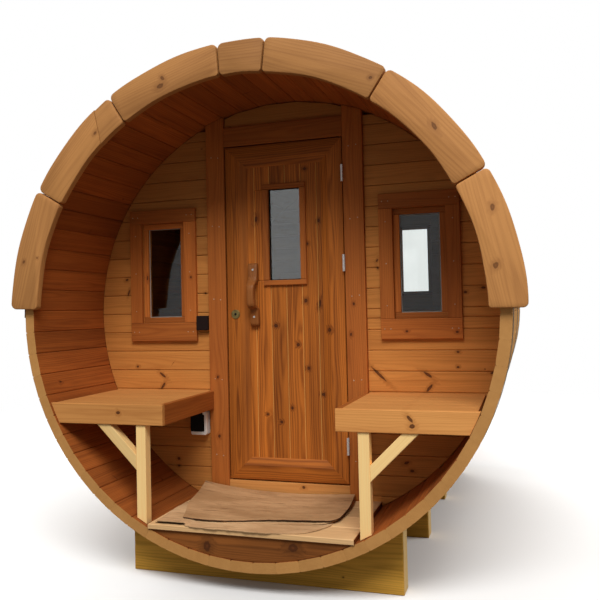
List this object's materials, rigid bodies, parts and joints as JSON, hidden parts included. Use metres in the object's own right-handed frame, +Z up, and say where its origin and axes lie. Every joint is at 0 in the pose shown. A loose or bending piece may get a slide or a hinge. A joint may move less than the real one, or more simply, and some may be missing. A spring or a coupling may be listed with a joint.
{
  "type": "barrel sauna",
  "caption": "Horizontal timber barrel on cradle beams, with an open porch holding two benches, a front wall with a hinged glazed door and small windows, and a closed room behind.",
  "frame": {"origin": "on the ground under the middle of the barrel, at the centre of the bounding box's base", "axes": "+Z up; +Y along the barrel from the porch to the rear end, so the porch faces -Y; +X to the right seen from the porch"},
  "size_m": [2.2086, 2.714, 2.245],
  "materials": {
    "stained_staves": "satin",
    "fascia_wood": "satin",
    "wall_boards": "satin",
    "frame_wood": "satin",
    "door_wood": "satin",
    "bench_wood": "satin",
    "raw_pine": "matt",
    "deck_pine": "matt",
    "skirt_wood": "matt",
    "treated_pine": "matt",
    "bitumen_covering": "matt",
    "hoop_steel": "brushed",
    "hinge_steel": "polished",
    "clear_glass": "clear",
    "handle_wood": "oiled",
    "mat_fibre": "rough",
    "dark_plastic": "matt",
    "white_plastic": "satin"
  },
  "bodies": {
    "building": {"bench_aprons": "bench_wood", "bench_braces": "raw_pine", "bench_legs": "raw_pine", "bench_seats": "bench_wood", "cradle_beams": "treated_pine", "door_head": "frame_wood", "door_jambs": "frame_wood", "door_threshold": "frame_wood", "front_fascia_key": "fascia_wood", "front_fascia_left": "fascia_wood", "front_fascia_right": "fascia_wood", "front_wall_left": "wall_boards", "front_wall_over_door": "wall_boards", "front_wall_right": "wall_boards", "front_wall_under_door": "wall_boards", "front_window_casing": "frame_wood", "front_window_glass": "clear_glass", "front_window_sash": "frame_wood", "inner_floor": "deck_pine", "jamb_hinge_leaves": "hinge_steel", "porch_deck": "deck_pine", "porch_mat": "mat_fibre", "porch_skirt": "skirt_wood", "rear_fascia": "fascia_wood", "rear_wall": "wall_boards", "rear_window_casing": "frame_wood", "rear_window_glass": "clear_glass", "rear_window_sash": "frame_wood", "roof_covering_left": "bitumen_covering", "roof_covering_right": "bitumen_covering", "staves_bottom": "stained_staves", "staves_lower_left": "stained_staves", "staves_lower_right": "stained_staves", "staves_top": "stained_staves", "staves_upper_left": "stained_staves", "staves_upper_right": "stained_staves", "steel_hoops": "hoop_steel", "wall_outlet_box": "white_plastic", "wall_switch_box": "dark_plastic"},
    "door": {"door_frame": "door_wood", "door_panel": "door_wood", "door_glass": "clear_glass", "door_light_moulding": "door_wood", "door_handle": "handle_wood", "door_latch_plate": "hinge_steel", "door_hinge_leaves": "hinge_steel"}
  },
  "joints": [
    {"name": "door_swing", "type": "hinge", "parent": "building", "child": "door", "pos_m": [0.2975, -0.7925, 1.14], "axis": [0, 0, 1], "range_deg": [0, 95]}
  ]
}
